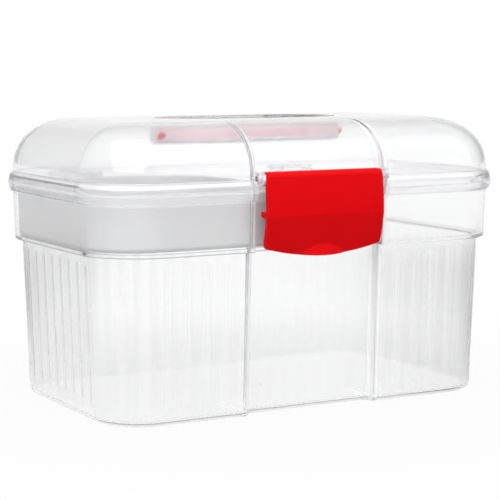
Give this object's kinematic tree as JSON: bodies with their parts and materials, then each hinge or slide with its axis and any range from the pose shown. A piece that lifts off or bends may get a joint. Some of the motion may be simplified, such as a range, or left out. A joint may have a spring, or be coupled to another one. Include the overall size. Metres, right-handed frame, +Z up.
{
  "type": "art supply box",
  "caption": "Clear moulded art supply box with a hinged domed lid, a snap latch at the front, a fold-down carrying handle in the lid and a loose tray on an inner ledge.",
  "frame": {"origin": "middle of the base, on the surface that the box stands on", "axes": "+X along the long front to the right, -Y out of the front where the latch is, +Z up"},
  "size_m": [0.25, 0.1649, 0.1525],
  "materials": {
    "clear_tub": "clear gloss moulding",
    "clear_lid": "clear gloss moulding",
    "frosted_tray": "translucent satin moulding",
    "red_latch": "satin gloss red moulding",
    "red_handle": "satin gloss red moulding",
    "natural_pin": "natural translucent rod"
  },
  "bodies": {
    "tub": {"tub": "clear_tub", "hinge_pin_left": "natural_pin", "hinge_pin_right": "natural_pin"},
    "lid": {"lid": "clear_lid", "latch_pin": "natural_pin"},
    "latch": {"latch": "red_latch"},
    "handle": {"handle": "red_handle"},
    "tray": {"tray": "frosted_tray"}
  },
  "joints": [
    {"name": "lid_hinge", "type": "hinge", "parent": "tub", "child": "lid", "pos_m": [0, 0.08095, 0.1185], "axis": [-1, 0, 0], "range_deg": [0, 105]},
    {"name": "latch_hinge", "type": "hinge", "parent": "lid", "child": "latch", "pos_m": [0, -0.07545, 0.1241], "axis": [-1, 0, 0], "range_deg": [0, 110]},
    {"name": "handle_hinge", "type": "hinge", "parent": "lid", "child": "handle", "pos_m": [0, -0.001, 0.1463], "axis": [1, 0, 0], "range_deg": [0, 90]},
    {"name": "tray_slide", "type": "slide", "parent": "tub", "child": "tray", "axis": [1, 0, 0], "range_m": [0, 0.1226]}
  ]
}
